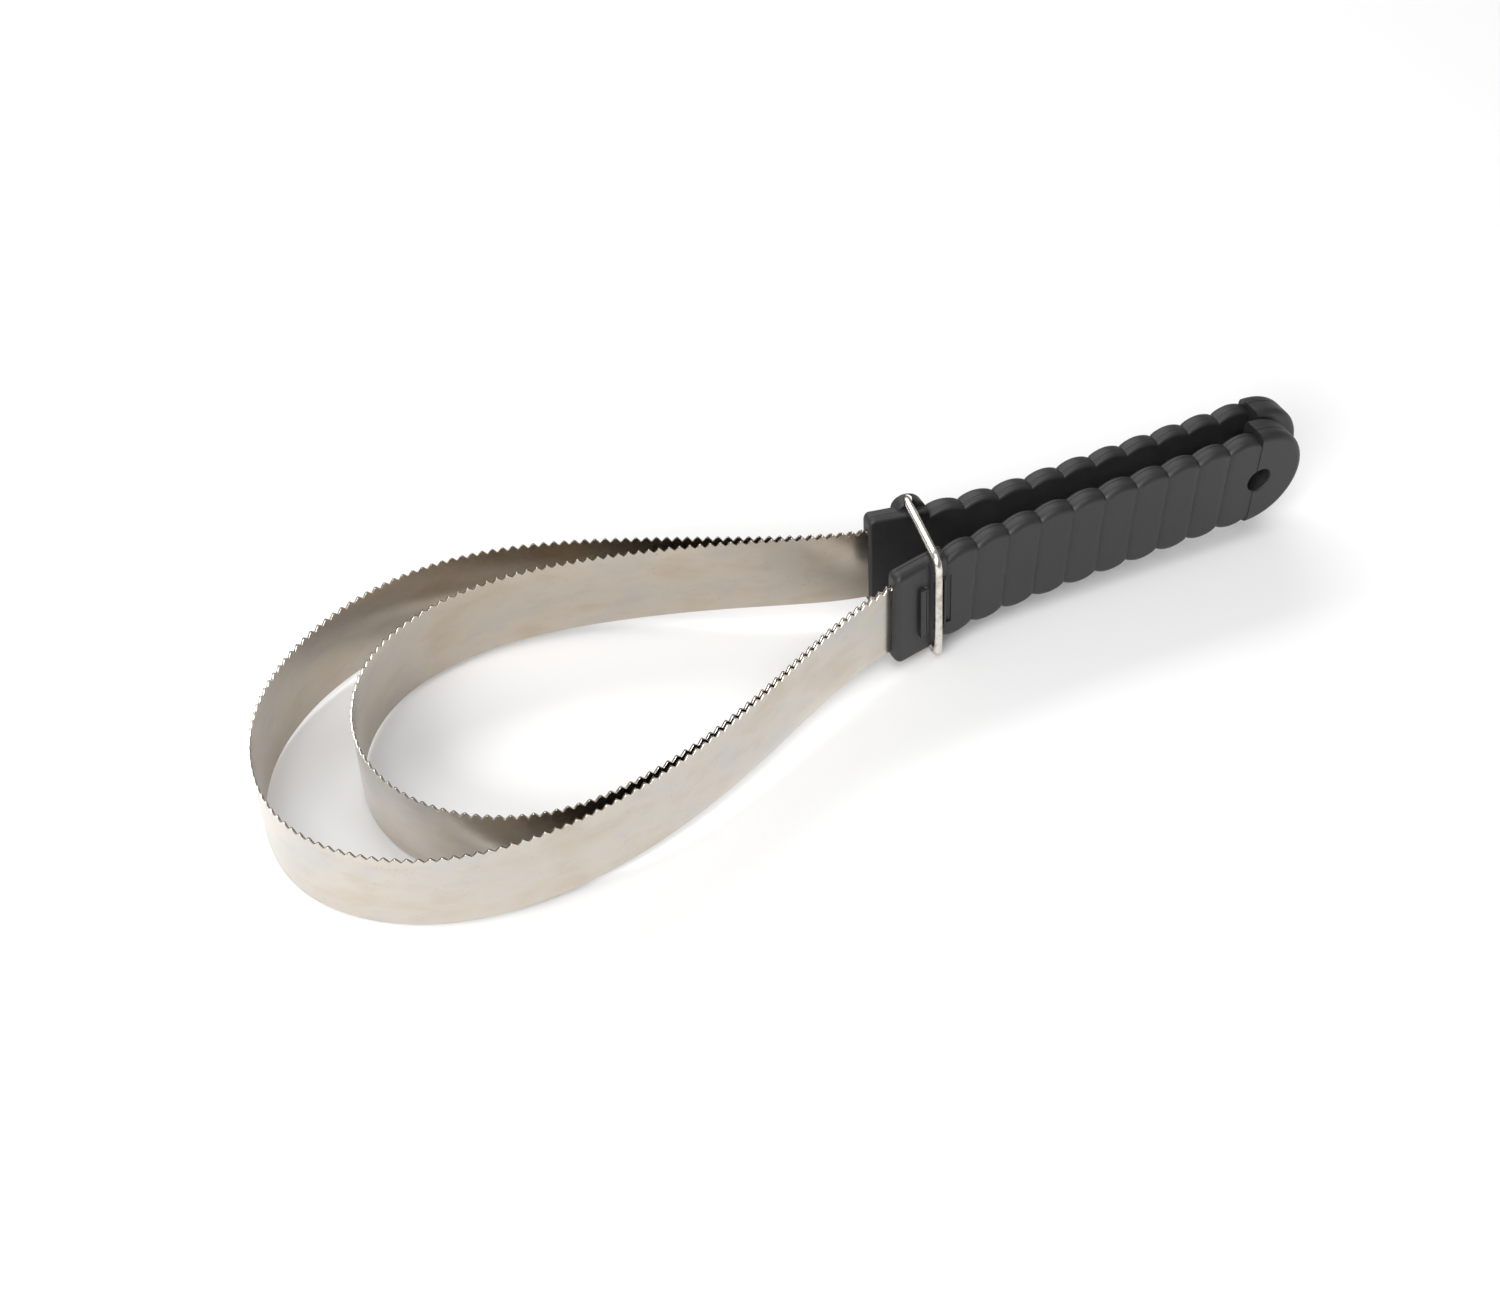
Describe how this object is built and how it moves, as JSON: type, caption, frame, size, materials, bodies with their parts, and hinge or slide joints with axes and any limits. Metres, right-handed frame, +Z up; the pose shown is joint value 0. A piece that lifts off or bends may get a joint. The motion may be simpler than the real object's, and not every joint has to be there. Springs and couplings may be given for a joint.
{
  "type": "double shedding blade",
  "caption": "Animal grooming tool: nested toothed spring-steel loops held by ribbed grips that a wire ring locks together.",
  "frame": {"origin": "bottom centre of the bounding box, on the surface the tool stands on", "axes": "+X along the grips from the loops towards the hang holes, +Y towards the grip that carries the ring's ears, +Z up, teeth up"},
  "size_m": [0.2878, 0.0912, 0.0374],
  "materials": {
    "band_steel": "satin",
    "grip_plastic": "matte",
    "ring_wire": "polished",
    "pin_steel": "plain"
  },
  "bodies": {
    "rear_grip": {"outer_blade": "band_steel", "inner_blade": "band_steel", "rear_grip_shell": "grip_plastic", "rear_grip_liner": "grip_plastic", "rear_tail_pins": "pin_steel"},
    "front_grip": {"front_grip_shell": "grip_plastic", "front_grip_liner": "grip_plastic", "front_tail_pins": "pin_steel"},
    "ring": {"lock_ring": "ring_wire"}
  },
  "joints": [
    {"name": "grip_squeeze", "type": "hinge", "parent": "rear_grip", "child": "front_grip", "pos_m": [0.12875, -0.00141, 0.02245], "axis": [0.0396, 0, -0.9992], "range_deg": [0, 2.3], "stiffness_Nm_per_rad": 3, "springref_deg": -18.91, "deforming": ["outer_blade", "inner_blade"]},
    {"name": "ring_swing", "type": "hinge", "parent": "rear_grip", "child": "ring", "pos_m": [0.03069, 0.01104, 0.01841], "axis": [-0.1092, 0, 0.994], "range_deg": [0, 7.5]}
  ],
  "couplings": [
    {"joint": "ring_swing", "follows": "grip_squeeze", "ratio": 3.2}
  ]
}
